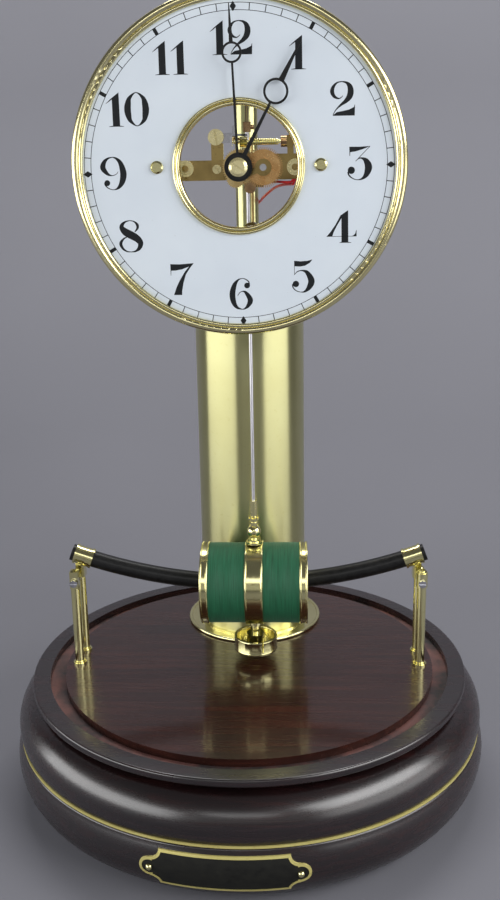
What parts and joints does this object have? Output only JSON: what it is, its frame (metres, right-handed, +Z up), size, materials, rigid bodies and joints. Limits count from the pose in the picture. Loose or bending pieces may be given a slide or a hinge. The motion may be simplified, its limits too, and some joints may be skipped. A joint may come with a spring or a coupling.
{
  "type": "electric mantel clock",
  "caption": "Electric mantel clock: round polished wood base, brass column, white dial with an open centre over the wheels, and a green coil pendulum swinging along a black bar magnet.",
  "frame": {"origin": "middle of the underside of the cloth pad under the base", "axes": "+Z up, -Y towards the viewer of the dial, +X to the viewer's right"},
  "size_m": [0.2649, 0.2654, 0.4216],
  "materials": {
    "green_cloth": "soft cloth",
    "plain_wood": "stained, unpolished",
    "polished_mahogany": "french polished",
    "polished_board": "french polished, light wear",
    "polished_brass": "polished, thin lacquer",
    "plate_brass": "polished border, black painted ground",
    "dull_brass": "brushed, aged",
    "wheel_brass": "cut and brushed",
    "copper_brass": "aged red brass",
    "bronze": "dark aged bronze",
    "steel": "polished steel",
    "blued_steel": "blued spring steel",
    "zinc": "dull zinc can",
    "black_steel": "black japanned",
    "red_cover": "smooth covered wire",
    "white_enamel": "fired white enamel with black markings",
    "black_paint": "gloss black",
    "brown_ribbon": "thin woven ribbon",
    "green_silk": "silk covered wire in close turns"
  },
  "bodies": {
    "stand": {"baize_pad": "green_cloth", "bottom_cover": "plain_wood", "base_moulding": "polished_mahogany", "top_board": "polished_board", "brass_inlay_ring": "polished_brass", "name_plate": "plate_brass", "plate_pins": "polished_brass", "column_flange": "polished_brass", "flange_screws": "steel", "column_tube": "polished_brass", "battery_cell": "zinc", "column_cap": "polished_brass", "upper_pillar": "polished_brass", "bar_magnet": "black_steel", "magnet_collar_left": "polished_brass", "magnet_collar_right": "polished_brass", "bracket_posts_left": "polished_brass", "bracket_posts_right": "polished_brass", "bracket_screws": "steel", "post_nuts": "dull_brass", "movement_yoke": "dull_brass", "cross_bar": "dull_brass", "bar_nuts": "polished_brass", "dial_pillars": "polished_brass", "worm_bracket": "dull_brass", "bearing_screw": "bronze", "left_post": "dull_brass", "pivot_cock": "steel", "click_spring": "steel", "post_screws": "polished_brass", "wheel_stud": "steel", "motion_bridge": "dull_brass", "spindle_bracket": "dull_brass", "bracket_bush": "bronze", "red_lead": "red_cover", "suspension_cock": "dull_brass", "dial_plate": "white_enamel", "bezel_ring": "polished_brass", "inner_ring": "polished_brass", "dial_screws": "polished_brass"},
    "long_hand": {"minute_works": "wheel_brass", "minute_hand": "black_paint", "hand_cap": "polished_brass"},
    "short_hand": {"hour_works": "wheel_brass", "hour_hand": "black_paint"},
    "motion_gear": {"motion_wheel": "wheel_brass"},
    "driven_gear": {"worm_wheel": "copper_brass"},
    "worm": {"worm_arbor": "polished_brass"},
    "pendulum": {"suspension_ribbon": "brown_ribbon", "rod_top_block": "bronze", "pendulum_rod": "steel", "contact_block": "dull_brass", "rod_finial": "polished_brass", "bobbin": "polished_brass", "winding_left": "green_silk", "winding_right": "green_silk", "centre_band": "polished_brass"},
    "rating_cup": {"rating_nut": "polished_brass"},
    "lever": {"contact_lever": "dull_brass"},
    "pawl": {"drive_pawl": "blued_steel"}
  },
  "joints": [
    {"name": "minute_hand_turn", "type": "hinge", "parent": "stand", "child": "long_hand", "pos_m": [0.0008, 0, 0.3398], "axis": [0, 1, 0], "continuous": true},
    {"name": "hour_hand_turn", "type": "hinge", "parent": "stand", "child": "short_hand", "pos_m": [0.0008, 0, 0.3398], "axis": [0, 1, 0], "continuous": true},
    {"name": "motion_wheel_turn", "type": "hinge", "parent": "stand", "child": "motion_gear", "pos_m": [-0.00125, 0, 0.33416], "axis": [0, 1, 0], "continuous": true},
    {"name": "worm_wheel_turn", "type": "hinge", "parent": "stand", "child": "driven_gear", "pos_m": [0.01239, 0, 0.3394], "axis": [0, 1, 0], "continuous": true},
    {"name": "worm_turn", "type": "hinge", "parent": "stand", "child": "worm", "pos_m": [0, -0.0098, 0.3516], "axis": [1, 0, 0], "continuous": true},
    {"name": "pendulum_swing", "type": "hinge", "parent": "stand", "child": "pendulum", "pos_m": [0.004, 0.0035, 0.368], "axis": [0, 1, 0], "range_deg": [-3, 3]},
    {"name": "rating_cup_turn", "type": "hinge", "parent": "pendulum", "child": "rating_cup", "pos_m": [0.004, 0.0035, 0.072], "axis": [0, 0, 1], "continuous": true},
    {"name": "lever_turn", "type": "hinge", "parent": "stand", "child": "lever", "pos_m": [0.0055, 0.0235, 0.3398], "axis": [0, 0, 1], "range_deg": [-11.7, 11.7]},
    {"name": "pawl_turn", "type": "hinge", "parent": "lever", "child": "pawl", "pos_m": [-0.0035, 0.0235, 0.3398], "axis": [0, 0, 1], "range_deg": [-11.7, 11.7]}
  ],
  "couplings": [
    {"joint": "hour_hand_turn", "follows": "minute_hand_turn", "ratio": 0.083333},
    {"joint": "motion_wheel_turn", "follows": "minute_hand_turn", "ratio": -0.33333},
    {"joint": "worm_wheel_turn", "follows": "minute_hand_turn", "ratio": -3},
    {"joint": "worm_turn", "follows": "minute_hand_turn", "ratio": 180},
    {"joint": "lever_turn", "follows": "pendulum_swing", "ratio": -3.87},
    {"joint": "pawl_turn", "follows": "pendulum_swing", "ratio": 3.87}
  ]
}
